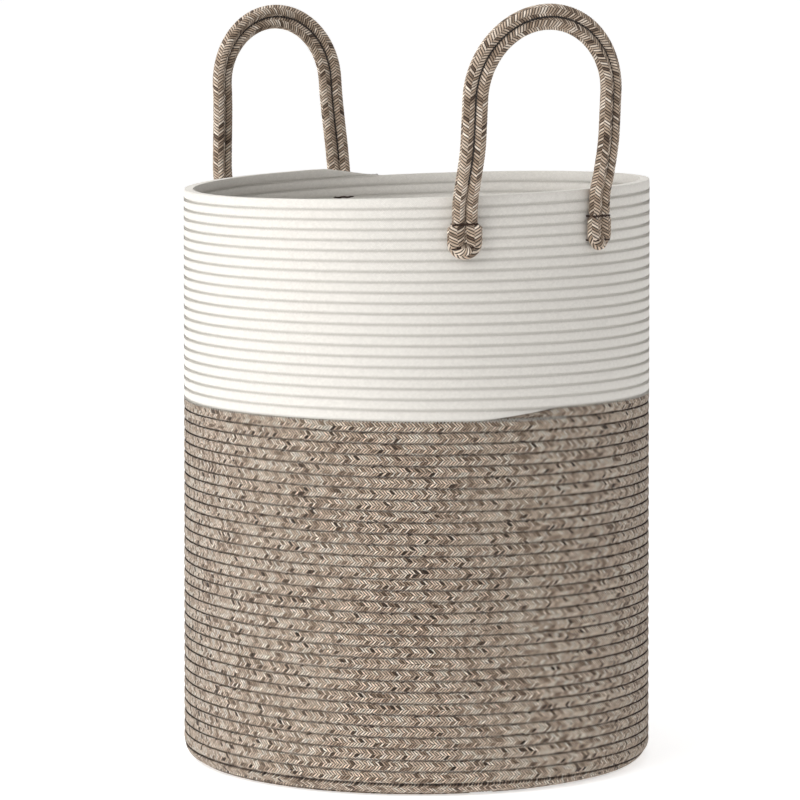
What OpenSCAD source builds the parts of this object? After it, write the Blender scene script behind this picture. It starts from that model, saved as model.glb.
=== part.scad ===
// Tall round laundry basket of coiled, zigzag-sewn rope, with two standing loop handles.
// Origin: centre of the base where it rests on the floor. +Z up, front handle towards -Y.
// Each row of the coil is drawn as a level ring; the real rope climbs one row a turn.

/* [Basket] */
// Outside diameter over the rope's crests
basket_d = 380; // [300:5:460]
// Rows of brown rope in the straight wall above the corner
brown_rows = 32; // [20:1:40]
// Rows of cream rope above the brown ones
cream_rows = 21; // [10:1:28]
// Rows that turn the corner from the base to the wall
corner_rows = 2; // [2:1:4]

/* [Wall rope] */
// Thickness of the sewn rope, through the wall
rope_t = 8; // [6:0.5:10]
// Height of one brown row
brown_pitch = 8.7; // [7:0.1:10.5]
// Height of one cream row
cream_pitch = 8.35; // [7:0.05:10.5]
// Depth of the groove that the stitching pulls between two rows
groove_depth = 1.3; // [0.8:0.1:1.8]
// Diameter of the filler inside the braided cover
core_d = 3.6; // [2.4:0.1:4.2]

/* [Stitching] */
// Height of the thread in a groove
thread_w = 1; // [0.6:0.1:1.4]
// Thickness of the thread
thread_t = 0.6; // [0.4:0.1:0.8]

/* [Handles] */
// Diameter of the handle rope
handle_rope_d = 10.4; // [8:0.2:12]
// Diameter of the filler inside the handle rope
handle_core_d = 7; // [4:0.2:7.4]
// Distance between the two legs of a handle, middle to middle
leg_spacing = 122; // [90:2:150]
// Height of a handle above its inward fold, measured along it
handle_rise = 147; // [120:1:190]
// Outward lean of the front handle as it stands
front_lean = 8; // [0:1:12]
// Outward lean of the back handle as it stands
back_lean = 4.5; // [0:0.5:12]
// Turn of the back handle round the basket, from the front one
back_turn = 189; // [175:1:190]
// Depth of the loop's sewn foot below the rim
foot_drop = 47.5; // [40:0.5:60]
// Depth below the rim of the fold where the handle tips outwards
fold_out_drop = 14; // [12:0.5:20]
// Depth below the rim of the fold where the handle tips inwards
fold_in_drop = 1; // [0:0.5:3]
// Depth below the rim of the upper row of tack stitches
upper_tack_drop = 20; // [18:0.5:24]
// Distance between the two rows of tack stitches
tack_spacing = 18.5; // [12:0.5:22]
// Diameter of the tack thread
tack_d = 1.4; // [1:0.1:2]

/* [Clearances] */
// Gap round a filler inside its cover
core_gap = 0.1; // [0.05:0.05:0.2]
// Gap between two ropes, or a rope and the thread beside it
rope_gap = 0.1; // [0.05:0.05:0.2]
// Gap at a fold of a handle, and between a handle and the wall
fold_gap = 0.3; // [0.2:0.1:0.6]

/* [Hidden] */
$fn = 72;

BROWN = "#9A8B7D";
CREAM = "#EDEAE4";
FILLER = "#F6F4EE";
BROWN_THREAD = "#4A3528";

// ---- The coil's path: along the base, round the corner, up the wall ----
basket_r = basket_d / 2;
corner_mid_r = corner_rows * brown_pitch / (PI / 2);
corner_r = corner_mid_r + rope_t / 2;
flat_r = basket_r - corner_r;
base_rows = round(flat_r / brown_pitch + 0.5);
base_pitch = flat_r / (base_rows - 0.5);
corner_len = corner_rows * brown_pitch;
wall_start = flat_r + corner_len;
cream_start = wall_start + brown_rows * brown_pitch;
rim_z = corner_r + brown_rows * brown_pitch + cream_rows * cream_pitch;

function path_angle(s) = s <= flat_r ? 0 : s >= wall_start ? 90 : 90 * (s - flat_r) / corner_len;
function path_point(s) =
    s <= flat_r ? [s, rope_t / 2]
    : s >= wall_start ? [basket_r - rope_t / 2, corner_r + s - wall_start]
    : [flat_r + corner_mid_r * sin(path_angle(s)), corner_r - corner_mid_r * cos(path_angle(s))];
function outward(s) = [sin(path_angle(s)), -cos(path_angle(s))];

// A row is [start, end] along the path.
BASE_ROWS = [for (k = [1:base_rows - 1]) [(k - 0.5) * base_pitch, (k + 0.5) * base_pitch]];
LOWER_ROWS = [for (k = [0:corner_rows + brown_rows - 1])
    [flat_r + k * brown_pitch, flat_r + (k + 1) * brown_pitch]];
UPPER_ROWS = [for (k = [0:cream_rows - 1])
    [cream_start + k * cream_pitch, cream_start + (k + 1) * cream_pitch]];

// One row's face: [share of the row, share of the groove's depth]; its flat ends seat the thread.
seat_share = (thread_w / 2 + rope_gap) / cream_pitch;
ROW_FACE = [[0, 1], [seat_share, 1], [0.16, 0.3], [0.27, 0], [0.5, 0], [0.73, 0], [0.84, 0.3],
    [1 - seat_share, 1], [1, 1]];
CENTRE_FACE = [[0, 0], [0.46, 0], [0.68, 0.3], [1 - 2 * seat_share, 1], [1, 1]];

function face_points(row, side, face = ROW_FACE) = [for (p = face)
    let (s = row[0] + p[0] * (row[1] - row[0]))
    path_point(s) + side * (rope_t / 2 - groove_depth * p[1]) * outward(s)];
function joined(lists) = [for (list = lists) for (point = list) point];
function backwards(list) = [for (i = [len(list) - 1:-1:0]) list[i]];

// The braided cover of a run of rows, turned round the axis, with a channel for each filler ring.
module coil(rows, with_centre = false) {
    trimmed = [for (i = [0:len(rows) - 1])
        [rows[i][0] + (i == 0 && !with_centre ? rope_gap / 2 : 0),
         rows[i][1] - (i == len(rows) - 1 ? rope_gap / 2 : 0)]];
    centre = [0, base_pitch / 2];
    centre_rows = with_centre ? [centre] : [];
    under = joined(concat(
        [for (row = centre_rows) face_points(row, 1, CENTRE_FACE)],
        [for (row = trimmed) face_points(row, 1)]));
    over = joined(concat(
        [for (row = centre_rows) face_points(row, -1, CENTRE_FACE)],
        [for (row = trimmed) face_points(row, -1)]));
    rotate_extrude()
        difference() {
            polygon(concat(under, backwards(over)));
            core_sections(rows, core_gap);
        }
}

module core_sections(rows, gap = 0) {
    for (row = rows)
        translate(path_point((row[0] + row[1]) / 2)) circle(d = core_d + 2 * gap, $fn = 8);
}

module coil_core(rows) {
    color(FILLER) rotate_extrude() core_sections(rows);
}

// The sewing thread in the grooves at the given places, on both faces of the rope.
module stitching(places) {
    rotate_extrude()
        for (s = places, side = [-1, 1])
            let (bottom = rope_t / 2 - groove_depth + rope_gap)
            translate(path_point(s))
                rotate(path_angle(s) - 90)
                    translate([side > 0 ? bottom : -bottom - thread_t, -thread_w / 2])
                        square([thread_t, thread_w]);
}

module base_coil() { color(BROWN) coil(BASE_ROWS, with_centre = true); }
module base_core() { coil_core(BASE_ROWS); }
module base_stitching() { color(BROWN_THREAD) stitching([for (row = BASE_ROWS) row[0]]); }
module lower_wall_coil() { color(BROWN) coil(LOWER_ROWS); }
module lower_wall_core() { coil_core(LOWER_ROWS); }
module lower_wall_stitching() { color(BROWN_THREAD) stitching([for (row = LOWER_ROWS) row[0]]); }
module upper_wall_coil() { color(CREAM) coil(UPPER_ROWS); }
module upper_wall_core() { coil_core(UPPER_ROWS); }
module upper_wall_stitching() { color(CREAM) stitching([for (row = UPPER_ROWS) row[0]]); }

// ---- Handles: one rope laid double, its two runs side by side ----
pair_pitch = handle_rope_d + rope_gap;
foot_r = basket_r + fold_gap + handle_rope_d / 2;
foot_turn = asin(leg_spacing / 2 / foot_r);
leg_x = leg_spacing / 2;
leg_y = -foot_r * cos(foot_turn);
// Half the step between the two runs, across and in depth.
run_x = pair_pitch / 2 * cos(foot_turn);
run_y = pair_pitch / 2 * sin(foot_turn);
fold_out_z = rim_z - fold_out_drop;
fold_in_z = rim_z - fold_in_drop;
arch_z = fold_in_z + handle_rise - leg_x - run_x - handle_rope_d / 2;
foot_end_z = rim_z - foot_drop + (pair_pitch + handle_rope_d) / 2;
// Depth of the thread in the valley between the two runs.
seam_depth = sqrt(pow((handle_rope_d + thread_w) / 2 + rope_gap, 2) - pow(pair_pitch / 2, 2));

// Places a front handle's parts at the front (front = 1) or at the back (front = 0).
module at_handle(front) {
    rotate([0, 0, front == 1 ? 0 : back_turn]) children();
}

// A left (-1) or right (+1) foot's own frame: its middle at the origin, facing out along -Y.
module at_foot(side) {
    rotate([0, 0, side * foot_turn]) translate([0, -foot_r, 0]) children();
}

// The double rope between two heights, as it runs down one leg.
module double_run(low, high, d) {
    for (run = [-1, 1])
        translate([run * pair_pitch / 2, 0, low]) cylinder(d = d, h = high - low);
}

// The sewn foot: both runs down from the outward fold, and the turn that joins them.
module foot_rope(d) {
    double_run(foot_end_z, fold_out_z - fold_gap / 2, d);
    translate([0, 0, foot_end_z])
        rotate([90, 0, 0])
            rotate_extrude(angle = -180) translate([pair_pitch / 2, 0]) circle(d = d);
}

module foot(side, front) {
    color(BROWN) at_handle(front) at_foot(side)
        difference() {
            foot_rope(handle_rope_d);
            foot_rope(handle_core_d + 2 * core_gap);
        }
}

module foot_core(front) {
    color(FILLER) at_handle(front)
        for (side = [-1, 1]) at_foot(side) foot_rope(handle_core_d);
}

// Two rows of tack stitches: a bar of thread on the foot, one inside the wall, four threads through.
module tacks(side, front) {
    color(BROWN_THREAD) at_handle(front) at_foot(side)
        for (drop = [upper_tack_drop, upper_tack_drop + tack_spacing])
            translate([0, 0, rim_z - drop]) {
                reach = handle_rope_d / 2;
                through = reach + fold_gap + rope_t + tack_d / 2;
                bar = pair_pitch + handle_rope_d / 2;
                for (y = [-reach, through])
                    translate([-bar / 2, y, 0]) rotate([0, 90, 0]) cylinder(d = tack_d, h = bar);
                for (x = [-bar / 2, -bar / 6, bar / 6, bar / 2])
                    translate([x, -reach, 0]) rotate([-90, 0, 0])
                        cylinder(d = tack_d, h = reach + through);
            }
}

// The short bend between the two folds.
module bend(side, front) {
    color(BROWN) at_handle(front) at_foot(side)
        difference() {
            double_run(fold_out_z + fold_gap / 2, fold_in_z - fold_gap / 2, handle_rope_d);
            double_run(fold_out_z, fold_in_z, handle_core_d + 2 * core_gap);
        }
}

module bend_core(front) {
    color(FILLER) at_handle(front)
        for (side = [-1, 1]) at_foot(side)
            double_run(fold_out_z + fold_gap / 2, fold_in_z - fold_gap / 2, handle_core_d);
}

// One run of the arch: two legs and the half circle over them, leaning out from the inward fold.
module arch(x, y, d, lean) {
    spare = handle_rope_d;
    cut = 4 * leg_spacing;
    difference() {
        translate([0, leg_y, fold_in_z])
            rotate([lean, 0, 0])
                translate([0, y - leg_y, arch_z - fold_in_z]) {
                    rotate([90, 0, 0])
                        rotate_extrude(angle = 180) translate([x, 0]) circle(d = d);
                    for (side = [-1, 1])
                        translate([side * x, 0, fold_in_z - arch_z - spare])
                            cylinder(d = d, h = arch_z - fold_in_z + spare);
                }
        translate([-cut / 2, y - cut / 2, fold_in_z + fold_gap / 2 - cut]) cube(cut);
    }
}

// run = 1 is the outer rope of the pair, run = -1 the inner one.
module run_of_arch(run, d, front) {
    arch(leg_x + run * run_x, leg_y + run * run_y, d, front == 1 ? front_lean : back_lean);
}

module handle_rope(run, front) {
    color(BROWN) at_handle(front)
        difference() {
            run_of_arch(run, handle_rope_d, front);
            run_of_arch(run, handle_core_d + 2 * core_gap, front);
        }
}

module handle_core(front) {
    color(FILLER) at_handle(front)
        for (run = [-1, 1]) run_of_arch(run, handle_core_d, front);
}

// The thread that sews the two runs together, in the valley on each side of the arch.
module handle_seam(front) {
    share = 2 * seam_depth / pair_pitch;
    color(BROWN_THREAD) at_handle(front)
        for (side = [-1, 1])
            arch(leg_x + side * share * run_y, leg_y - side * share * run_x, thread_w,
                front == 1 ? front_lean : back_lean);
}

base_coil();
base_core();
base_stitching();
lower_wall_coil();
lower_wall_core();
lower_wall_stitching();
upper_wall_coil();
upper_wall_core();
upper_wall_stitching();
foot(-1, 1);  // front_left_foot
foot(1, 1);  // front_right_foot
foot_core(1);  // front_foot_core
tacks(-1, 1);  // front_left_tacks
tacks(1, 1);  // front_right_tacks
bend(-1, 1);  // front_left_bend
bend(1, 1);  // front_right_bend
bend_core(1);  // front_bend_core
handle_rope(1, 1);  // front_outer_rope
handle_rope(-1, 1);  // front_inner_rope
handle_core(1);  // front_handle_core
handle_seam(1);  // front_handle_seam
foot(-1, 0);  // back_left_foot
foot(1, 0);  // back_right_foot
foot_core(0);  // back_foot_core
tacks(-1, 0);  // back_left_tacks
tacks(1, 0);  // back_right_tacks
bend(-1, 0);  // back_left_bend
bend(1, 0);  // back_right_bend
bend_core(0);  // back_bend_core
handle_rope(1, 0);  // back_outer_rope
handle_rope(-1, 0);  // back_inner_rope
handle_core(0);  // back_handle_core
handle_seam(0);  // back_handle_seam
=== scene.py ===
"""Tall round laundry basket of coiled, zigzag-sewn braided rope, with two standing loop handles."""
import logging
import math
from dataclasses import dataclass, field
from enum import Enum
from typing import Callable, Sequence

import bmesh
import bpy
import numpy as np
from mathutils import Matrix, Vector


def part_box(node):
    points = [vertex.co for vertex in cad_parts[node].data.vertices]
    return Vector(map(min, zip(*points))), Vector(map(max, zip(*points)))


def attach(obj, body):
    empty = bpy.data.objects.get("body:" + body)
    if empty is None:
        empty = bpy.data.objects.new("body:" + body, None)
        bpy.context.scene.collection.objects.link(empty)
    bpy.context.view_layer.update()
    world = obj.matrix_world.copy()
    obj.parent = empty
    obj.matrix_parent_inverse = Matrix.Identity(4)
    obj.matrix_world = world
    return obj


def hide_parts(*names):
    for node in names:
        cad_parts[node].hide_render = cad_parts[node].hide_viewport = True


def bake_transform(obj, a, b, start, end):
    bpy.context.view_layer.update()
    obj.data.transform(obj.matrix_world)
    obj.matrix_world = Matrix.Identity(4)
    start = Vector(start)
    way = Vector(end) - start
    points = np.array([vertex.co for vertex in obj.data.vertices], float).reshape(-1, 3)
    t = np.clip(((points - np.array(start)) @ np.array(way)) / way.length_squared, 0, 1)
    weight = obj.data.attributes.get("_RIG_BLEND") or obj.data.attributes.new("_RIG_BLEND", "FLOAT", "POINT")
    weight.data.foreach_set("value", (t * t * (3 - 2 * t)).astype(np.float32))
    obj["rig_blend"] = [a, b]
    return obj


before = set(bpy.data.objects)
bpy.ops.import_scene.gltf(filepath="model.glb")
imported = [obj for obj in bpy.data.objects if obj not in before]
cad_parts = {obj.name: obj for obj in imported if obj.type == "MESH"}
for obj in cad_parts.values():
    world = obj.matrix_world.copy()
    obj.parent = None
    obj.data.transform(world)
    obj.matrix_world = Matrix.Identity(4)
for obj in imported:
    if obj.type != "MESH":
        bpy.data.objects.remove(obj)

LOG = logging.getLogger("basket")
MM = 0.001
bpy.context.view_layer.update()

# Half width to which a pressed rope's flats reach into its neighbours, in a unit section.
REACH = 1.06
# Points of a unit section nearer than this to its middle line lie on the flats.
FLAT = 0.25
# Share of its full size that a rope keeps at a tapered end.
THIN_END = 0.04
# Length of one zigzag of the wall's stitching, the thread's half width and how flat it lies.
ZIGZAG = 2.7 * MM
THREAD_HALF = 0.33 * MM
THREAD_FLATNESS = 0.8
# Half the thickness of the filler in the basket's rope.
FILLER_HALF = 1.8 * MM
# Height on a strand's crown that lies on the rope's drawn surface.
CROWN_MIDDLE = 0.75


class Body(str, Enum):
    """The rigid bodies of the frame."""

    BASKET = "basket"
    FRONT_BEND = "front_bend"
    FRONT_HANDLE = "front_handle"
    BACK_BEND = "back_bend"
    BACK_HANDLE = "back_handle"


class Face(Enum):
    """The two faces of the wall that the stitching shows on."""

    OUTSIDE = 1
    INSIDE = -1


# ---------------------------------------------------------------- materials

def linear(code: str) -> tuple[float, float, float, float]:
    """Turns an sRGB hex colour into Blender's linear RGBA.

    Args:
        code: The colour as "#rrggbb".

    Returns:
        The linear colour with full alpha.
    """
    parts = [int(code[i:i + 2], 16) / 255 for i in (1, 3, 5)]
    r, g, b = (p / 12.92 if p <= 0.04045 else ((p + 0.055) / 1.055) ** 2.4 for p in parts)
    return r, g, b, 1.0


def add(tree: bpy.types.NodeTree, kind: str, inputs: dict | None = None,
        **settings: object) -> bpy.types.Node:
    """Adds one shader node, with its settings, values and incoming links.

    Args:
        tree: The node tree.
        kind: The node's type name, without the ShaderNode prefix.
        inputs: Socket name or number to a value, or to the output socket that feeds it.
        **settings: Properties of the node itself.

    Returns:
        The new node.
    """
    node = tree.nodes.new("ShaderNode" + kind)
    for name, value in settings.items():
        setattr(node, name, value)
    for key, value in (inputs or {}).items():
        if isinstance(value, bpy.types.NodeSocket):
            tree.links.new(value, node.inputs[key])
        else:
            node.inputs[key].default_value = value
    return node


def new_material(name: str) -> tuple[bpy.types.Material, bpy.types.NodeTree]:
    """Makes an empty node material and returns it with its tree."""
    material = bpy.data.materials.new(name)
    material.use_nodes = True
    material.node_tree.nodes.clear()
    return material, material.node_tree


@dataclass(frozen=True)
class PlainCotton:
    """Matt cotton with a soft nap: loose filler and sewing thread."""

    name: str
    colour: str
    roughness: float = 0.9
    grain_mm: float = 0.8
    # Brightness of the grain's dark spots, as a share of the colour.
    shade: float = 0.72

    def build(self) -> bpy.types.Material:
        """Makes the material: one colour with a faint uneven grain."""
        material, tree = new_material(self.name)
        place = add(tree, "TexCoord")
        noise = add(tree, "TexNoise", {"Vector": place.outputs["Object"],
                                       "Scale": 1 / (self.grain_mm * MM), "Detail": 2.0})
        tone = add(tree, "Mix", {6: linear(self.colour), 7: tuple(
            self.shade * c for c in linear(self.colour)[:3]) + (1.0,), 0: noise.outputs["Fac"]},
            data_type="RGBA")
        shader = add(tree, "BsdfPrincipled", {
            "Base Color": tone.outputs[2], "Roughness": self.roughness,
            "Specular IOR Level": 0.25, "Sheen Weight": 0.15})
        add(tree, "OutputMaterial", {"Surface": shader.outputs["BSDF"]})
        return material


@dataclass(frozen=True)
class BraidedCotton:
    """A braided rope cover: strands that slant one way and then the other round the rope.

    The pattern follows the piece's UV map, where U is millimetres along the rope and V is the
    share of the way round it.
    """

    name: str
    # Colours of the yarns, from the darkest, and the share of strands up to each one.
    yarns: tuple[tuple[float, str], ...]
    # Colour of the painted shade in the gaps between strands, where the braid's recesses fall into shade.
    gap_shade_colour: str
    # Distance between two strands along the rope.
    strand_mm: float
    # How far a strand runs along the rope while it crosses one slanted column.
    slant_mm: float
    # Number of slanted columns round the rope.
    columns: int
    # Share of a strand's pitch that is the gap beside it, painted dark as shade.
    gap: float
    # How strongly single yarns show inside a strand.
    heather: float
    relief_mm: float
    # How far the gaps' colour goes towards that painted shade colour.
    gap_shade_strength: float = 1.0
    # How far the braid turns about the rope, in turns, and how far its strands run ahead or lag.
    wander: float = 0.22
    wobble_mm: float = 1.6
    # Millimetres over which the braid's turn drifts, and how fast the strands' lag changes.
    wander_over_mm: float = 60
    wobble_rate: float = 0.35
    # Yarns across a strand and along it, how far a pale one outshines the strand, and their relief.
    yarns_across: float = 3.2
    yarns_along: float = 1.3
    pale_yarn: float = 0.45
    yarn_relief: float = 0.5

    def crown(self, along_mm: np.ndarray, around: np.ndarray) -> np.ndarray:
        """Height of the strands' rounded tops, from 0 in a gap to 1, for pieces that carry them.

        Args:
            along_mm: Millimetres along the rope.
            around: Share of the way round it.

        Returns:
            The height at each point.
        """
        column = around * self.columns
        across = 1 - np.abs(np.mod(column, 2) - 1)
        phase = (along_mm + across * self.slant_mm) / self.strand_mm + np.floor(column) * 0.5
        return 1 - 4 * (np.mod(phase, 1) - 0.5) ** 2

    def build(self) -> bpy.types.Material:
        """Makes the material: chevrons of strands, each in its own yarn, with painted shade in the gaps
        between them.
        """
        material, tree = new_material(self.name)

        def math_node(operation: str, a: object, b: object = 0.0) -> bpy.types.NodeSocket:
            """One arithmetic step on sockets or numbers."""
            return add(tree, "Math", {0: a, 1: b}, operation=operation).outputs[0]

        uv = add(tree, "UVMap", uv_map="rope")
        split = add(tree, "SeparateXYZ", {0: uv.outputs["UV"]})
        along, around = split.outputs["X"], split.outputs["Y"]

        # Slow wander of the braid along the rope, so that no two rows match.
        wander = add(tree, "TexNoise", {"W": math_node("MULTIPLY", along, 1 / self.wander_over_mm),
                                        "Scale": 1.0, "Detail": 2.0}, noise_dimensions="1D")
        turn = math_node("MULTIPLY", math_node("SUBTRACT", wander.outputs["Fac"], 0.5), self.wander)
        column = math_node("MULTIPLY", math_node("ADD", around, turn), float(self.columns))
        across = math_node("PINGPONG", column, 1.0)
        column_no = math_node("FLOOR", column)
        wobble = add(tree, "TexNoise", {"Vector": add(tree, "CombineXYZ", {
            0: math_node("MULTIPLY", along, self.wobble_rate), 1: column_no}).outputs[0], "Scale": 1.0})
        shift = math_node("MULTIPLY", math_node("SUBTRACT", wobble.outputs["Fac"], 0.5),
                          self.wobble_mm)
        travel = math_node("ADD", math_node("ADD", along, shift),
                           math_node("MULTIPLY", across, self.slant_mm))
        phase = math_node("ADD", math_node("DIVIDE", travel, self.strand_mm),
                          math_node("MULTIPLY", column_no, 0.5))
        strand_no, inside = math_node("FLOOR", phase), math_node("FRACT", phase)

        # One yarn colour for each strand.
        lot = add(tree, "TexWhiteNoise", {"Vector": add(tree, "CombineXYZ", {
            0: strand_no, 1: column_no}).outputs[0]})
        ramp = add(tree, "ValToRGB", {"Fac": lot.outputs["Value"]})
        ramp.color_ramp.interpolation = "LINEAR"
        stops = ramp.color_ramp.elements
        while len(stops) < len(self.yarns):
            stops.new(1.0)
        for stop, (share, colour) in zip(stops, self.yarns):
            stop.position, stop.color = share, linear(colour)

        # Single yarns, which run with the strand.
        yarn = add(tree, "TexNoise", {"Vector": add(tree, "CombineXYZ", {
            0: math_node("MULTIPLY", phase, self.yarns_across),
            1: math_node("MULTIPLY", across, self.yarns_along),
            2: column_no}).outputs[0], "Scale": 1.0, "Detail": 2.0, "Roughness": 0.6})
        tint = add(tree, "MapRange", {"Value": yarn.outputs["Fac"], "From Min": 0.3,
                                      "From Max": 0.7, "To Min": 1 - self.heather,
                                      "To Max": 1 + self.heather * self.pale_yarn})
        lit = add(tree, "VectorMath", {0: ramp.outputs["Color"], "Scale": tint.outputs[0]},
                  operation="SCALE")

        # Painted shade in the gap at a strand's edge, and the strand's rounded top.
        edge = math_node("ABSOLUTE", math_node("SUBTRACT", inside, 0.5))
        gap = add(tree, "MapRange", {"Value": edge, "From Min": 0.5 - self.gap,
                                     "From Max": 0.5, "To Min": 0.0, "To Max": self.gap_shade_strength},
                  interpolation_type="SMOOTHSTEP")
        # The gaps' colour is mixed towards the painted shade colour.
        colour = add(tree, "Mix", {0: gap.outputs[0], 6: lit.outputs[0],
                                   7: linear(self.gap_shade_colour)}, data_type="RGBA")
        fall = math_node("MULTIPLY", edge, math_node("MULTIPLY", edge, 4))
        crown = math_node("SUBTRACT", 1.0, fall)
        raised = math_node("MULTIPLY", yarn.outputs["Fac"], self.yarn_relief)
        height = math_node("ADD", crown, raised)
        bump = add(tree, "Bump", {"Height": height, "Strength": 1.0,
                                  "Distance": self.relief_mm * MM})
        shader = add(tree, "BsdfPrincipled", {
            "Base Color": colour.outputs[2], "Roughness": 0.88, "Specular IOR Level": 0.25,
            "Sheen Weight": 0.12, "Normal": bump.outputs["Normal"]})
        add(tree, "OutputMaterial", {"Surface": shader.outputs["BSDF"]})
        return material


# Cotton rope braided from mixed brown and cream yarns, matt, with strands in fine chevrons and near black
# painted shade in the gaps between them.
BROWN_ROPE = BraidedCotton(
    "braided cotton rope, brown mix",
    ((0.0, "#3A2A1F"), (0.06, "#957C67"), (0.3, "#D2BAA3"), (0.65, "#F8E2CB"), (1.0, "#FFF6E6")),
    "#120A06", strand_mm=2.45, slant_mm=-3.1, columns=8, gap=0.45, heather=0.6, relief_mm=0.8,
    wander=0.16, wobble_mm=2.4)
# The same rope at the handles, round and a little thicker, with fewer columns of strands and the same
# painted shade in the gaps.
HANDLE_ROPE = BraidedCotton(
    "braided cotton rope, brown mix, round",
    ((0.0, "#5A483B"), (0.06, "#97826F"), (0.35, "#C4AD97"), (0.75, "#E0CCB8"), (1.0, "#FAEBDA")),
    "#120A06", strand_mm=2.5, slant_mm=3.3, columns=6, gap=0.36, heather=0.5, relief_mm=0.2,
    wander=0.0, wobble_mm=0.0)
# Undyed braided cotton rope: smooth and bright, the braid barely shows; its gaps carry a faint painted
# shade.
CREAM_ROPE = BraidedCotton(
    "braided cotton rope, undyed",
    ((0.0, "#E3DFD8"), (1.0, "#ECE8E1")),
    "#D2CDC4", strand_mm=1.5, slant_mm=1.6, columns=16, gap=0.2, heather=0.06, relief_mm=0.2,
    gap_shade_strength=0.5)
# Loose cotton filler inside the braided cover.
FILLER = PlainCotton("cotton filler", "#F6F4EE")
# Spun polyester sewing thread, dark on the brown rope.
BROWN_THREAD = PlainCotton("sewing thread, brown", "#38261C", grain_mm=0.4)
# The same thread, undyed on the cream rope.
CREAM_THREAD = PlainCotton("sewing thread, undyed", "#E8E4DC", grain_mm=0.4)


# ---------------------------------------------------------------- rope meshes

Seat = Callable[[np.ndarray, np.ndarray, np.ndarray], np.ndarray]


@dataclass
class Tube:
    """A flat strip of faces, rolled up into a tube and seated along a path."""

    name: str
    sides: int
    stations: int
    pressed: bool = False

    def build(self, seat: Seat, lengths_mm: np.ndarray) -> bpy.types.Object:
        """Rolls the strip up, seats it, gives it its UV map, closes it and links it.

        Args:
            seat: Takes each vertex's station number and its two unit section coordinates, and
                returns its place in the row frame.
            lengths_mm: Millimetres along the rope at each station.

        Returns:
            The finished object.
        """
        bm = bmesh.new()
        bmesh.ops.create_grid(bm, x_segments=self.stations - 1, y_segments=self.sides, size=0.5)
        mesh = bpy.data.meshes.new(self.name)
        bm.to_mesh(mesh)
        co = np.empty(len(mesh.vertices) * 3, np.float64)
        mesh.vertices.foreach_get("co", co)
        co = co.reshape(-1, 3)
        station = np.rint((co[:, 0] + 0.5) * (self.stations - 1)).astype(int)
        side = np.rint((co[:, 1] + 0.5) * self.sides)
        turn = 2 * np.pi * np.mod(side, self.sides) / self.sides
        placed = seat(station, np.cos(turn), np.sin(turn))
        mesh.vertices.foreach_set("co", placed.astype(np.float32).ravel())
        corner = np.empty(len(mesh.loops), np.int32)
        mesh.loops.foreach_get("vertex_index", corner)
        layer = mesh.uv_layers.new(name="rope")
        layer.data.foreach_set("uv", np.column_stack(
            [lengths_mm[station][corner], side[corner] / self.sides]).astype(np.float32).ravel())
        bm.clear()
        bm.from_mesh(mesh)
        for face in bm.faces:
            face.smooth = True
        if self.pressed:
            # The rows meet in a crease, so the shading breaks there.
            lift, out = np.abs(np.sin(turn)), np.abs(np.cos(turn))
            crease = [bool(c) for c in (lift > 0.9) & (out > FLAT)]
            bm.verts.index_update()
            for edge in bm.edges:
                a, b = (v.index for v in edge.verts)
                edge.smooth = not (crease[a] and crease[b] and side[a] == side[b])
        first = [v for v, k in zip(bm.verts, side) if k == 0]
        last = {int(i): v for v, k, i in zip(bm.verts, side, station) if k == self.sides}
        numbers = [int(i) for k, i in zip(side, station) if k == 0]
        bmesh.ops.weld_verts(bm, targetmap={last[i]: v for v, i in zip(first, numbers)})
        bmesh.ops.holes_fill(bm, edges=[e for e in bm.edges if e.is_boundary], sides=0)
        bmesh.ops.recalc_face_normals(bm, faces=bm.faces)
        bm.to_mesh(mesh)
        bm.free()
        obj = bpy.data.objects.new(self.name, mesh)
        bpy.context.scene.collection.objects.link(obj)
        return obj


def pressed(x: np.ndarray, y: np.ndarray, groove: float,
            power: float) -> tuple[np.ndarray, np.ndarray]:
    """Turns a unit circle's points into a rope's section between its two neighbours.

    Args:
        x: Points through the wall.
        y: Points along the wall.
        groove: How deep the groove between two rows is, as a share of the rope's half depth.
        power: How suddenly the face falls away to the groove.

    Returns:
        The points; the faces that press on the neighbours reach a little into them.
    """
    wide = np.clip(y * REACH, -1, 1)
    face = np.sign(x) * (1 - groove * np.abs(wide) ** power)
    side = np.abs(x) < FLAT
    return np.where(side, x, face), np.where(side, np.sign(y) * REACH, wide)


def smoothstep(low: float, high: float, value: np.ndarray) -> np.ndarray:
    """0 below low, 1 above high, and an even S between them."""
    t = np.clip((value - low) / (high - low), 0, 1)
    return t * t * (3 - 2 * t)


def dress(obj: bpy.types.Object, material: bpy.types.Material, body: Body,
          nodes: Sequence[str]) -> None:
    """Gives a finished piece its material, body and the CAD nodes it stands for."""
    obj.data.materials.append(material)
    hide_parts(*nodes)
    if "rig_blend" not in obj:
        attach(obj, body.value)
    LOG.info("%s: %d faces, stands for %s", obj.name, len(obj.data.polygons), ", ".join(nodes))


# ---------------------------------------------------------------- basket

@dataclass(frozen=True)
class RowLook:
    """How one rope's rows are pressed together and sewn."""

    colour: str
    # Depth of the groove between two rows, as a share of the rope's half depth.
    groove: float
    # How suddenly a row's face falls away to the groove.
    power: float
    # How far the thread lies below the rope's face, and how far it reaches to each side.
    sunk: float
    reach: float


BROWN_ROWS = RowLook("brown", groove=0.28, power=3.0, sunk=0.75 * MM, reach=0.9 * MM)
CREAM_ROWS = RowLook("cream", groove=0.11, power=2.2, sunk=0.3 * MM, reach=1.5 * MM)


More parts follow.
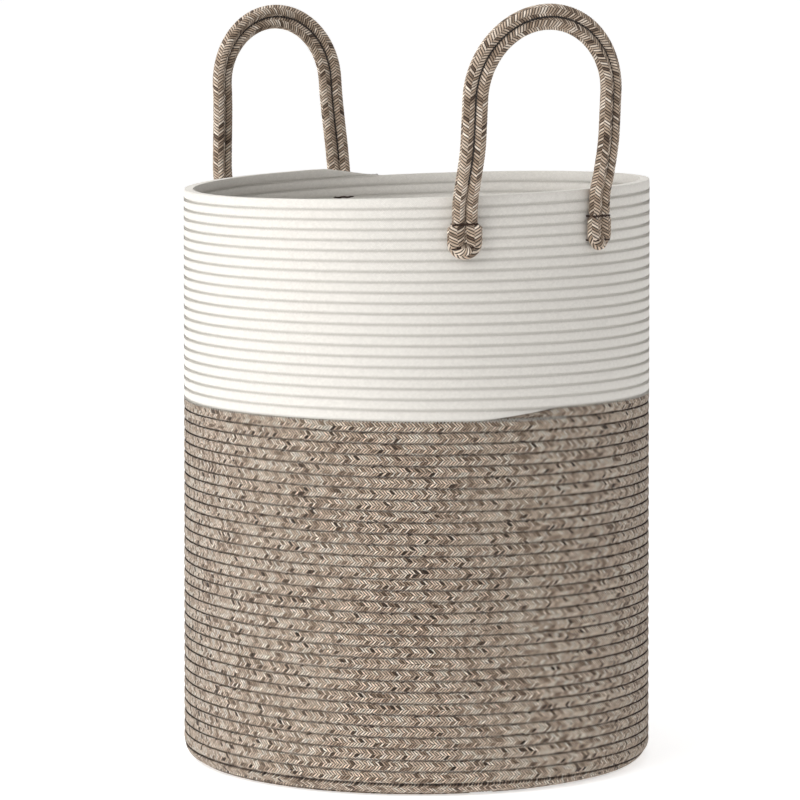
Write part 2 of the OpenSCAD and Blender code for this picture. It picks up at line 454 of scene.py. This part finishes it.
@dataclass
class Coil:
    """The path that the sewn rope follows: over the base, round the corner and up the wall.

    A place on it is a length in metres from the middle of the base, in the cross-section.
    """

    radius: float = field(init=False)
    rim: float = field(init=False)
    thickness: float = field(init=False)
    corner: float = field(init=False)
    join: float = field(init=False)
    # Radius of the path's bend at the corner, and the lengths at which that bend starts and ends.
    mid: float = field(init=False)
    flat: float = field(init=False)
    wall: float = field(init=False)
    # Share by which the wall is wider at the floor than at the rim.
    taper: float = 0.011
    # The soft rows stand a little taller than drawn.
    stretch: float = 1.0096
    # How much taller still the rows at half height stand.
    belly: float = 2.6 * MM
    # How far the rim rises on one side and sinks on the other, and the angle of its high side.
    lift: float = 7.0 * MM
    lift_at: float = math.radians(-10)

    def __post_init__(self) -> None:
        """Takes the sizes from the CAD nodes' boxes."""
        low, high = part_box("upper_wall_coil")
        base_low, base_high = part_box("base_coil")
        self.radius = (high.x - low.x) / 2
        self.rim = high.z
        self.join = low.z
        self.thickness = base_high.z - base_low.z
        self.corner = self.radius - base_high.x
        self.mid = self.corner - self.thickness / 2
        self.flat = self.radius - self.corner
        self.wall = self.flat + self.mid * math.pi / 2

    def at_height(self, z: float) -> float:
        """The path's length at a height on the straight wall."""
        return self.wall + z - self.corner

    def point(self, s: np.ndarray) -> tuple[np.ndarray, np.ndarray, np.ndarray]:
        """Radius, height and tilt of the path at a length along it."""
        tilt = np.clip((s - self.flat) / (self.wall - self.flat), 0, 1) * math.pi / 2
        r = np.where(s < self.flat, s, self.flat + self.mid * np.sin(tilt))
        z = np.where(s < self.wall, self.corner - self.mid * np.cos(tilt),
                     self.corner + s - self.wall)
        return r, z, tilt

    def place(self, s: np.ndarray, turn: np.ndarray, up: np.ndarray,
              out: np.ndarray) -> np.ndarray:
        """Seats points that lie up along the wall and out from it, at a length and an angle.

        Args:
            s: Length along the path.
            turn: Angle round the basket.
            up: Offset along the path's own direction.
            out: Offset outwards from the path.

        Returns:
            The points in the row frame.
        """
        r, z, tilt = self.point(s)
        r = r + up * np.cos(tilt) + out * np.sin(tilt)
        z = z + up * np.sin(tilt) - out * np.cos(tilt)
        r = r * (1 + self.taper * (0.5 - z / self.rim) * np.sin(tilt))
        return np.column_stack([r * np.cos(turn), r * np.sin(turn), self.settled(z, turn)])

    def settled(self, z: np.ndarray, turn: np.ndarray) -> np.ndarray:
        """The height that a drawn height comes to on the soft basket, at an angle round it."""
        share = np.clip(z / self.rim, 0, 1)
        tall = self.rim * (self.stretch - 1) * share + self.belly * np.sin(math.pi * share)
        return z + tall + self.lift * share ** 6 * np.cos(turn - self.lift_at)


@dataclass
class Run:
    """One run of the coil between two lengths on the path, climbing clockwise from above."""

    name: str
    coil: Coil
    look: RowLook
    start: float
    end: float
    pitch: float
    # Angle round the basket at the run's end.
    end_turn: float
    # Metres over which the rope thins out at its first end and at its last one.
    tapers: tuple[float, float]
    steps_a_turn: int = 120
    sides: int = 20

    def angles(self, per_turn: int) -> np.ndarray:
        """Turned angle at each station, counted back from the run's end."""
        turns = (self.end - self.start) / self.pitch
        return np.linspace(-turns, 0, max(2, int(turns * per_turn)) + 1) * 2 * math.pi

    def lengths_mm(self, turned: np.ndarray) -> np.ndarray:
        """Millimetres along the rope at each station."""
        s = self.end + turned / (2 * math.pi) * self.pitch
        r, _, _ = self.coil.point(s)
        step = np.abs(np.diff(turned)) * (r[1:] + r[:-1]) / 2
        return np.concatenate([[0], np.cumsum(step)]) / MM

    def rope(self, width: float, depth: float, groove: float, sides: int, per_turn: int,
             name: str) -> bpy.types.Object:
        """Sweeps a rope of that section along the run.

        Args:
            width: Half width along the wall.
            depth: Half depth through the wall.
            groove: Depth of the groove between two rows, as a share of the half depth, or 0 for
                a round rope.
            sides: Points round the rope.
            per_turn: Stations in a turn.
            name: The piece's name.

        Returns:
            The rope.
        """
        turned = self.angles(per_turn)
        lengths = self.lengths_mm(turned)
        first, last = (max(taper, MM) for taper in self.tapers)
        grown = np.clip(lengths * MM / first, THIN_END, 1)
        left = np.clip((lengths[-1] - lengths) * MM / last, THIN_END, 1)
        size = grown * left

        def seat(i: np.ndarray, x: np.ndarray, y: np.ndarray) -> np.ndarray:
            """Seats one vertex of the rope on the coil."""
            x, y = pressed(x, y, groove, self.look.power) if groove else (x, y)
            s = self.end + turned[i] / (2 * math.pi) * self.pitch
            # A rope that begins keeps its upper edge in line, one that ends keeps its lower edge.
            shift = (left[i] - grown[i]) * self.pitch / 2
            return self.coil.place(s + shift, self.end_turn - turned[i], y * width * size[i],
                                   x * depth * np.sqrt(size[i]))

        return Tube(name, sides, len(turned), groove > 0).build(seat, lengths)

    def stitches(self, face: Face, depth: float, name: str, per_turn: int = 36) -> bpy.types.Object:
        """Sews the zigzag thread in the groove between each turn and the one below, on one face.

        Args:
            face: The face of the wall.
            depth: Distance of the thread from the rope's middle.
            name: The piece's name.
            per_turn: Places in a turn at which the groove's length is measured.

        Returns:
            The thread.
        """
        turned = self.angles(per_turn)
        total = self.lengths_mm(turned)
        count = int(total[-1] * MM / ZIGZAG) * 2
        at = np.interp(np.linspace(0, total[-1], count), total, turned)
        up = np.where(np.arange(count) % 2 == 0, self.look.reach, -self.look.reach)

        def seat(i: np.ndarray, x: np.ndarray, y: np.ndarray) -> np.ndarray:
            """Seats one vertex of the thread across the groove."""
            s = self.end + (at[i] / (2 * math.pi) - 0.5) * self.pitch
            return self.coil.place(s, self.end_turn - at[i] + y * THREAD_HALF / self.coil.radius,
                                   up[i], face.value * (depth + x * THREAD_HALF * THREAD_FLATNESS))

        return Tube(name, 3, count).build(seat, np.linspace(0, total[-1], count))


@dataclass
class Basket:
    """The basket's coil: base, lower and upper wall, their filler and their stitching."""

    brown_rows: int = 32
    corner_rows: int = 2
    cream_rows: int = 21
    # Where each rope's tapered end lies, round the basket.
    brown_end: float = math.radians(-103)
    cream_end: float = math.radians(71)
    # Angle over which the brown rope thins out under the cream one as it begins.
    overlap: float = math.radians(22)
    # Lengths over which the rope thins out in the middle of the base and at the rim.
    base_taper: float = 10 * MM
    rim_taper: float = 50 * MM
    coil: Coil = field(default_factory=Coil)

    def runs(self) -> list[Run]:
        """The three runs of the coil, in order from the middle of the base."""
        coil = self.coil
        brown = (self.coil.at_height(coil.join) - coil.flat) / (self.brown_rows + self.corner_rows)
        cream = (coil.rim - coil.join) / self.cream_rows
        rows = round(coil.flat / brown + 0.5) - 0.5
        base = coil.flat / rows
        # The coil's last row ends half a turn short of the rim's level, so that it averages out.
        top = coil.at_height(coil.rim) - cream / 2
        extra = (self.cream_end - self.brown_end) / (2 * math.pi)
        cream_turns = self.cream_rows - extra
        joint = top - cream_turns * cream
        corner_start = joint - (self.brown_rows + self.corner_rows) * brown
        lap = self.overlap * coil.radius
        cream_start = joint - self.overlap / (2 * math.pi) * cream
        return [
            Run("base", coil, BROWN_ROWS, base / 2, corner_start, base, self.brown_end,
                (self.base_taper, 0), steps_a_turn=96),
            Run("lower_wall", coil, BROWN_ROWS, corner_start, joint, brown, self.brown_end, (0, lap)),
            Run("upper_wall", coil, CREAM_ROWS, cream_start, top, cream, self.cream_end,
                (lap, self.rim_taper)),
        ]

    def build(self) -> None:
        """Builds and dresses every piece of the basket."""
        covers = {BROWN_ROWS: BROWN_ROPE.build(), CREAM_ROWS: CREAM_ROPE.build()}
        filler = FILLER.build()
        threads = {BROWN_ROWS: BROWN_THREAD.build(), CREAM_ROWS: CREAM_THREAD.build()}
        half = self.coil.thickness / 2
        for run in self.runs():
            name, look = run.name, run.look
            rope = run.rope(run.pitch / 2, half, look.groove, run.sides, run.steps_a_turn,
                            f"{name}_rope")
            dress(rope, covers[look], Body.BASKET, [f"{name}_coil"])
            core = run.rope(FILLER_HALF, FILLER_HALF, groove=0.0, sides=6, per_turn=48,
                            name=f"{name}_filler")
            dress(core, filler, Body.BASKET, [f"{name}_core"])
            for face in Face:
                thread = run.stitches(face, half - look.sunk,
                                      f"{name}_stitching_{face.name.lower()}")
                dress(thread, threads[look], Body.BASKET,
                      [f"{name}_stitching"])


# ---------------------------------------------------------------- handles

@dataclass(frozen=True)
class Strip:
    """A rope's path in millimetres: its middle, its two section axes and its half sizes."""

    middle: np.ndarray
    spread: np.ndarray
    outward: np.ndarray
    half_width: np.ndarray
    half_depth: np.ndarray
    # Turns by which the braid is rolled about the rope.
    roll: np.ndarray

    def resampled(self, step: float) -> tuple["Strip", np.ndarray]:
        """The same path at even steps, with the millimetres along it."""
        gaps = np.linalg.norm(np.diff(self.middle, axis=0), axis=1)
        length = np.concatenate([[0], np.cumsum(gaps)])
        even = np.linspace(0, length[-1], int(length[-1] / step) + 1)

        def pick(values: np.ndarray) -> np.ndarray:
            """Reads one array at the even steps."""
            if values.ndim == 1:
                return np.interp(even, length, values)
            return np.column_stack([np.interp(even, length, c) for c in values.T])

        return Strip(*(pick(v) for v in (self.middle, self.spread, self.outward,
                                         self.half_width, self.half_depth, self.roll))), even


@dataclass(frozen=True)
class Seam:
    """The zigzag that sews a handle's two runs together, in millimetres."""

    # Height above the rim where it starts.
    start: float = 6.0
    # Distance between two holes along the rope, and how far they lie to each side.
    step: float = 1.7
    swing: float = 1.0
    # Depth of the thread from the runs' middle, and the thread's half sizes.
    depth: float = 2.6
    half_depth: float = 0.4
    half_width: float = 0.75


@dataclass(frozen=True)
class Tack:
    """A line of back stitches through a foot and the wall, in millimetres."""

    holes: int = 8
    # Share of the rope's half width that the upper line and the lower one reach across.
    upper_reach: float = 0.8
    lower_reach: float = 0.55
    # How far the thread stands proud of the rope, and of the wall's inner face.
    proud: float = 0.3
    inner_proud: float = 0.45
    # Share of its drawn radius that the tapered wall has near the rim.
    narrowed: float = 0.995
    # Stations in each straight length, how far the line wavers up and down, and how fast.
    stations: int = 4
    waver: float = 0.25
    waver_rate: float = 2.1
    half_width: float = 0.6
    half_height: float = 0.8
    # Length of thread between two stations, for the finish.
    length_step: float = 0.7


SEAM = Seam()
TACK = Tack()


@dataclass
class Handle:
    """A rope loop laid double, sewn flat to the wall at two feet and standing over the rim.

    Sizes are millimetres. The path is worked out at the front and turned about the basket.
    """

    name: str
    coil: Coil
    turn: float
    bend: Body
    loop: Body
    rise: float
    lean: float
    # How far the loop spreads beyond the feet on each side, and how far it stands off the rim.
    bulge: float
    bow: float
    leg: float = 61
    rope: float = 5.05
    # Half the distance between the two runs, on the left foot and on the right one.
    foot_spread: tuple[float, float] = (6.8, 6.1)
    foot_depth: float = 4.5
    # How far the runs press into each other.
    press: float = 0.1
    # How far the rope's middle stands off the wall, and how far the feet are sunk back from there.
    stand_off: float = 5.5
    sunk: float = 1.5
    # How deep the tack stitches press into the foot, and over what height.
    pinch: float = 2.3
    pinch_height: float = 1.5
    drop: float = 54
    tacks: tuple[float, float] = (25.5, 44)
    # Heights above the rim, where one piece ends and where the joints bend the rope.
    cut: float = -6.5
    foot_blend: tuple[float, float] = (-24, -8)
    loop_blend: tuple[float, float] = (-5, 14)
    # Depth below the rim where the lean starts, and the height over which it sets in.
    fold: float = 1.0
    soften: float = 5.0
    # Heights over which the rope comes off the wall and bows out, from the rim and from the fold.
    sunk_range: tuple[float, float] = (-12, 8)
    bow_range: tuple[float, float] = (-18, 42)
    # Depth below the rim where the loop starts to spread.
    bulge_drop: float = 8
    # Heights over the upper tacks where the flat foot turns into the round rope.
    round_range: tuple[float, float] = (-3, 1)
    # Points on the loop, on one leg of a foot and on its turn.
    loop_points: int = 1600
    leg_points: int = 260
    turn_points: int = 120
    # Where the braid rolls over, as shares of the loop and as points past a foot's turn.
    loop_roll: tuple[float, float] = (0.4, 0.6)
    foot_roll: tuple[float, float] = (-40, 160)
    # Heights, radii and lengths that follow from the basket's.
    rim: float = field(init=False)
    wall: float = field(init=False)
    foot: float = field(init=False)
    splay: float = field(init=False)
    low: float = field(init=False)
    arch: float = field(init=False)
    spring: float = field(init=False)
    upright: float = field(init=False)
    length: float = field(init=False)

    def __post_init__(self) -> None:
        """Works out the path's fixed sizes from the basket's."""
        self.rim = self.coil.rim / MM
        self.wall = self.coil.radius / MM
        self.foot = self.wall + self.stand_off
        self.splay = math.asin(self.leg / self.foot)
        self.low = self.rim - self.drop + 2 * self.foot_spread[0] + 2 * self.press
        self.arch = self.leg + self.bulge
        self.spring = self.rim - self.fold + self.rise - self.arch - 2 * self.rope
        self.upright = self.spring - self.low
        self.length = 2 * self.upright + math.pi * self.arch

    def _place(self, points: np.ndarray) -> np.ndarray:
        """Turns points in millimetres to the handle's side and follows the rim's soft lift."""
        c, s = math.cos(self.turn), math.sin(self.turn)
        x = points[:, 0] * c - points[:, 1] * s
        y = points[:, 0] * s + points[:, 1] * c
        return np.column_stack([x * MM, y * MM,
                                self.coil.settled(points[:, 2] * MM, np.arctan2(y, x))])

    def pair(self, q: np.ndarray) -> tuple[np.ndarray, np.ndarray, np.ndarray]:
        """The doubled rope's middle, its spread and its outward direction.

        Args:
            q: Millimetres from the left foot's turn, up, over and down to the right foot's turn.

        Returns:
            The middles, the unit directions from the inner run to the outer one, and the unit
            directions out from the wall.
        """
        over = np.clip((q - self.upright) / self.arch, 0, math.pi)
        angle = math.pi - over
        down = np.maximum(q - self.upright - math.pi * self.arch, 0)
        height = np.where(q < self.upright, self.low + q,
                          self.spring + self.arch * np.sin(angle) - down)
        widening = self.bulge * smoothstep(self.rim - self.bulge_drop, self.spring, height)
        x = np.where((over > 0) & (down == 0), self.arch * np.cos(angle),
                     np.sign(np.cos(angle)) * (self.leg + widening))
        twist = math.sin(self.splay) * np.cos(angle) ** 2
        flat = np.sqrt(1 - twist ** 2)
        spread = np.column_stack([np.cos(angle) * flat, twist, np.sin(angle) * flat])
        above = height - (self.rim - self.fold)
        soft = self.soften * np.logaddexp(0, above / self.soften)
        off = self.bow * smoothstep(*self.bow_range, above) + math.sin(self.lean) * soft
        y = np.full_like(q, -self.foot * math.cos(self.splay)) - off
        z = height - (1 - math.cos(self.lean)) * soft
        middle = np.column_stack([x, y, z])
        heading = np.gradient(middle, q, axis=0)
        outward = np.cross(heading, spread)
        outward /= np.linalg.norm(outward, axis=1)[:, None]
        sunk = self.sunk * (1 - smoothstep(*self.sunk_range, height - self.rim))
        return middle - outward * sunk[:, None], spread, outward

    def _dip(self, z: np.ndarray, tack: float) -> np.ndarray:
        """How far a line of tacks at a depth below the rim presses the rope in, at each height."""
        return self.pinch * np.exp(-((z - self.rim + tack) / self.pinch_height) ** 2)

    def _sizes(self, middle: np.ndarray) -> tuple[np.ndarray, np.ndarray, np.ndarray]:
        """Half distance between the runs and the rope's half width and depth, by height."""
        z = middle[:, 2]
        spread = np.where(middle[:, 0] < 0, *self.foot_spread)
        foot = 1 - smoothstep(*self.round_range, z - (self.rim - self.tacks[0]))
        gap = self.rope - self.press + (spread - self.rope + self.press) * foot
        width = self.rope + (spread + self.press - self.rope) * foot
        depth = self.rope + (self.foot_depth - self.rope) * foot
        for tack in self.tacks:
            depth = depth - self._dip(z, tack)
        return gap, width, depth

    def arch_run(self, outer: bool) -> Strip:
        """The run over the arch: the outer one from left to right, the inner one back."""
        start = self.rim + self.cut - self.low
        q = np.linspace(start, self.length - start, self.loop_points)
        middle, spread, outward = self.pair(q)
        gap, width, depth = self._sizes(middle)
        side = 1 if outer else -1
        share = (q - q[0]) / (q[-1] - q[0])
        rolled = smoothstep(*self.loop_roll, share if outer else 1 - share)
        roll = (1 - rolled) / HANDLE_ROPE.columns
        strip = Strip(middle + side * spread * gap[:, None], side * spread, outward, width, depth,
                      roll)
        return strip if outer else Strip(*(v[::-1] for v in (
            strip.middle, strip.spread, strip.outward, width, depth, roll)))

    def foot_turn(self, right: bool) -> Strip:
        """The rope from the piece's cut down one run, round the foot's end and up the other."""
        start = self.rim + self.cut - self.low
        run = np.linspace(0, start, self.leg_points)
        q = self.length - run if right else run
        middle, spread, outward = self.pair(q)
        gap, width, depth = self._sizes(middle)
        first = 1 if right else -1
        beta = np.linspace(0, math.pi, self.turn_points)[1:-1]
        down = np.array([0, 0, -1.0])
        around = (first * spread[0] * np.cos(beta)[:, None] + down * np.sin(beta)[:, None])
        ones = np.ones(len(beta))
        end = middle[0] + around * gap[0]
        tack_dip = self._dip(end[:, 2], self.tacks[1])
        parts = [
            (middle + first * spread * gap[:, None], first * spread, outward, width, depth),
            (end, around, outward[0] * ones[:, None], width[0] * (1 - 0.1 * np.sin(beta)),
             self.foot_depth * ones - tack_dip),
            (middle - first * spread * gap[:, None], -first * spread, outward, width, depth)]
        flipped = [v[::-1] for v in parts[0]]
        joined = [np.concatenate(v) for v in zip(flipped, parts[1], parts[2])]
        past = np.arange(len(joined[0])).astype(float) - len(run)
        roll = smoothstep(*self.foot_roll, past)
        return Strip(*joined, roll / HANDLE_ROPE.columns)

    def _sweep(self, strip: Strip, name: str, sides: int, step: float, braid: float,
               size: float = 1.0, start_mm: float = 0.0) -> tuple[bpy.types.Object, float]:
        """Sweeps a rope along a strip.

        Args:
            strip: The path.
            name: The piece's name.
            sides: Points round the rope.
            step: Millimetres between stations.
            braid: How far the strands stand out, in millimetres.
            size: Share of the strip's own half sizes.
            start_mm: Millimetres along the rope at its first station.

        Returns:
            The rope, and the millimetres along it at its last station.
        """
        even, length = strip.resampled(step)

        def seat(i: np.ndarray, x: np.ndarray, y: np.ndarray) -> np.ndarray:
            """Seats one vertex of the rope."""
            around = np.mod(np.arctan2(y, x) / (2 * math.pi), 1)
            rise = braid * (HANDLE_ROPE.crown(length[i] + start_mm, around) - CROWN_MIDDLE)
            c, s = np.cos(2 * math.pi * even.roll[i]), np.sin(2 * math.pi * even.roll[i])
            out, wide = x * c - y * s, x * s + y * c
            return self._place(
                even.middle[i]
                + even.outward[i] * (out * (even.half_depth[i] * size + rise))[:, None]
                + even.spread[i] * (wide * (even.half_width[i] * size + rise))[:, None])

        return Tube(name, sides, len(length)).build(seat, length + start_mm), start_mm + length[-1]

    def _seam(self, face: Face) -> bpy.types.Object:
        """Sews the two runs of the loop together with a zigzag on one face."""
        start = self.rim + SEAM.start - self.low
        count = int((self.length - 2 * start) / SEAM.step)
        q = np.linspace(start, self.length - start, count)
        middle, spread, outward = self.pair(q)
        zig = np.where(np.arange(count) % 2 == 0, SEAM.swing, -SEAM.swing)[:, None]
        path = middle + spread * zig + outward * SEAM.depth * face.value
        heading = np.gradient(middle, axis=0)
        heading /= np.linalg.norm(heading, axis=1)[:, None]

        def seat(i: np.ndarray, x: np.ndarray, y: np.ndarray) -> np.ndarray:
            """Seats one vertex of the thread."""
            return self._place(path[i] + outward[i] * (x * SEAM.half_depth)[:, None]
                               + heading[i] * (y * SEAM.half_width)[:, None])

        name = f"{self.name}_handle_seam_{face.name.lower()}"
        return Tube(name, 4, count).build(seat, np.linspace(0, SEAM.step * count, count))

    def _tack(self, right: bool, drop: float, name: str) -> bpy.types.Object:
        """Sews one line of back stitches across a foot and through the wall."""
        at = self.rim - drop - self.low
        q = np.array([self.length - at if right else at])
        q = np.concatenate([q, q + 0.01])
        middle, spread, outward = (v[0] for v in self.pair(q))
        middle[2] = self.rim - drop
        gap, width, depth = (float(v[0]) for v in self._sizes(middle[None, :]))
        half = gap + width * (TACK.upper_reach if at > 0 else TACK.lower_reach)
        holes = np.linspace(-half, half, TACK.holes)
        front = depth + TACK.proud
        inner = (self.wall - self.coil.thickness / MM) * TACK.narrowed
        back = -(self.foot - self.sunk - inner) + TACK.inner_proud
        along, depths = [], []
        for k in range(1, len(holes)):
            before = holes[max(k - 2, 0)]
            for where, level in ((before, back), (holes[k], back), (holes[k], front),
                                 (holes[k - 1], front)):
                along.append(where)
                depths.append(level)
        corner = np.array([along, depths]).T
        knots = np.linspace(0, len(corner) - 1, (len(corner) - 1) * TACK.stations + 1)
        along_at = np.interp(knots, range(len(corner)), corner[:, 0])
        depth_at = np.interp(knots, range(len(corner)), corner[:, 1])
        path = middle + spread * along_at[:, None] + outward * depth_at[:, None]
        path[:, 2] += TACK.waver * np.sin(knots * TACK.waver_rate)
        step = np.gradient(path, axis=0)
        side = np.cross(step, np.array([0, 0, 1.0]))
        side /= np.maximum(np.linalg.norm(side, axis=1), 1e-6)[:, None]

        def seat(i: np.ndarray, x: np.ndarray, y: np.ndarray) -> np.ndarray:
            """Seats one vertex of the thread."""
            return self._place(path[i] + side[i] * (x * TACK.half_width)[:, None]
                               + np.array([0, 0, 1.0]) * (y * TACK.half_height)[:, None])

        return Tube(name, 6, len(path)).build(seat, np.arange(len(path)) * TACK.length_step)

    def build(self, cover: bpy.types.Material, filler: bpy.types.Material,
              thread: bpy.types.Material) -> None:
        """Builds the feet, the loop's two runs, their filler, the seam and the tack stitches.

        Args:
            cover: The braided cover's material.
            filler: The filler's material.
            thread: The sewing thread's material.
        """
        def level(height: float) -> Vector:
            """A point on the basket's axis at a height above the rim."""
            return Vector((0, 0, (self.rim + height) * MM))

        def finish(piece: bpy.types.Object, material: bpy.types.Material, slot: str, foot: bool,
                   *nodes: str) -> None:
            """Lets a piece bend over its joint and dresses it."""
            a, b, (low, high) = ((Body.BASKET, self.bend, self.foot_blend) if foot else
                                 (self.bend, self.loop, self.loop_blend))
            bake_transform(piece, a.value, b.value, level(low), level(high))
            dress(piece, material, b, [f"{self.name}_{node}" for node in nodes])

        mm = 0.0
        for part, strip, foot, nodes in (
                ("right_foot", self.foot_turn(True), True, ("right_foot", "right_bend")),
                ("inner_rope", self.arch_run(False), False, ("inner_rope",)),
                ("left_foot", self.foot_turn(False), True, ("left_foot", "left_bend")),
                ("outer_rope", self.arch_run(True), False, ("outer_rope",))):
            rope, mm = self._sweep(strip, f"{self.name}_{part}_cover", sides=40, step=0.5, braid=0.5,
                                   start_mm=mm)
            finish(rope, cover, "brown_rope", foot, *nodes)
            core, _ = self._sweep(strip, f"{self.name}_{part}_core", sides=8, step=3.0, braid=0.0,
                                  size=0.55)
            finish(core, filler, "rope_filler", foot,
                   *(("foot_core", "bend_core") if foot else ("handle_core",)))
        for face in Face:
            finish(self._seam(face), thread, "brown_thread", False, "handle_seam")
        for right, side in ((False, "left"), (True, "right")):
            for number, drop in enumerate(self.tacks, 1):
                line = self._tack(right, drop, f"{self.name}_{side}_tacks_{number}")
                dress(line, thread, Body.BASKET, [f"{self.name}_{side}_tacks"])


# ---------------------------------------------------------------- studio

@dataclass
class Studio:
    """Plain pale floor, soft light from the left and from above, and the camera, in metres."""

    distance: float = 3.421
    elevation: float = 5.98
    azimuth: float = -28.95
    aside: float = -0.0135
    height: float = 0.2917
    lens_mm: float = 188.5
    sensor_mm: float = 36
    world_strength: float = 0.5
    # Height that the lights face.
    lit_height: float = 0.25
    floor_half: float = 400
    # Distances behind the basket between which the paper's glow grows, and its two strengths.
    glow_range: tuple[float, float] = (-1.0, -0.25)
    glow: tuple[float, float] = (0.1, 0.55)

    def build(self) -> None:
        """Makes the floor, the lights and the camera."""
        scene = bpy.context.scene
        scene.view_settings.view_transform = "Standard"
        world = bpy.data.worlds.new("studio")
        world.use_nodes = True
        world.node_tree.nodes["Background"].inputs["Color"].default_value = (1, 1, 1, 1)
        world.node_tree.nodes["Background"].inputs["Strength"].default_value = self.world_strength
        scene.world = world
        self._floor()
        self._lamp("key", azimuth=-86, elevation=36, distance=3.2, size=2.6, watts=80)
        self._lamp("top", azimuth=-20, elevation=82, distance=3.2, size=2.0, watts=16)
        self._camera()

    def _direction(self, azimuth: float, elevation: float) -> Vector:
        """The direction from the basket to something at that bearing, in degrees."""
        a, e = math.radians(azimuth), math.radians(elevation)
        return Vector((math.sin(a) * math.cos(e), -math.cos(a) * math.cos(e), math.sin(e)))

    def _floor(self) -> None:
        """A wide pale floor under the basket."""
        bm = bmesh.new()
        bmesh.ops.create_grid(bm, x_segments=1, y_segments=1, size=self.floor_half)
        mesh = bpy.data.meshes.new("floor")
        bm.to_mesh(mesh)
        bm.free()
        floor = bpy.data.objects.new("floor", mesh)
        bpy.context.scene.collection.objects.link(floor)
        material, tree = new_material("matt white paper")
        # The paper glows under and behind the basket, and less from there towards the camera.
        place = add(tree, "TexCoord")
        behind = add(tree, "VectorMath", {0: place.outputs["Object"],
                                          1: -self._direction(self.azimuth, 0)},
                     operation="DOT_PRODUCT")
        (near, far), (dim, bright) = self.glow_range, self.glow
        glow = add(tree, "MapRange", {"Value": behind.outputs["Value"], "From Min": near,
                                      "From Max": far, "To Min": dim, "To Max": bright},
                   interpolation_type="SMOOTHSTEP")
        shader = add(tree, "BsdfPrincipled", {
            "Base Color": (0.93, 0.93, 0.93, 1), "Roughness": 0.95, "Specular IOR Level": 0.1,
            "Emission Color": (1, 1, 1, 1), "Emission Strength": glow.outputs[0]})
        add(tree, "OutputMaterial", {"Surface": shader.outputs["BSDF"]})
        mesh.materials.append(material)

    def _lamp(self, name: str, azimuth: float, elevation: float, distance: float, size: float,
              watts: float) -> None:
        """A square soft light that faces the basket."""
        data = bpy.data.lights.new(name, "AREA")
        data.size, data.energy = size, watts
        lamp = bpy.data.objects.new(name, data)
        back = self._direction(azimuth, elevation)
        lamp.location = Vector((0, 0, self.lit_height)) + back * distance
        lamp.rotation_euler = (-back).to_track_quat("-Z", "Y").to_euler()
        bpy.context.scene.collection.objects.link(lamp)

    def _camera(self) -> None:
        """A long lens, a little above the handles."""
        data = bpy.data.cameras.new("camera")
        data.lens, data.sensor_width = self.lens_mm, self.sensor_mm
        data.clip_start, data.clip_end = 0.1, 1000
        camera = bpy.data.objects.new("camera", data)
        a = math.radians(self.azimuth)
        target = Vector((math.cos(a), math.sin(a), 0)) * self.aside + Vector((0, 0, self.height))
        back = self._direction(self.azimuth, self.elevation)
        camera.location = target + back * self.distance
        camera.rotation_euler = (-back).to_track_quat("-Z", "Y").to_euler()
        bpy.context.scene.collection.objects.link(camera)
        bpy.context.scene.camera = camera


def main() -> None:
    """Builds the basket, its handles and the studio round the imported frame."""
    logging.basicConfig(level=logging.INFO, format="%(name)s: %(message)s")
    basket = Basket()
    basket.build()
    cover, filler, thread = HANDLE_ROPE.build(), FILLER.build(), BROWN_THREAD.build()
    for handle in (
            Handle("front", basket.coil, turn=0.0, bend=Body.FRONT_BEND, loop=Body.FRONT_HANDLE,
                   rise=142.8, lean=math.radians(4.5), bulge=-0.3, bow=9.0),
            Handle("back", basket.coil, turn=math.radians(189), bend=Body.BACK_BEND,
                   loop=Body.BACK_HANDLE, rise=142, lean=math.radians(4.5), bulge=-4.5, bow=0.0)):
        handle.build(cover, filler, thread)
    Studio().build()


if __name__ == "__main__":
    main()
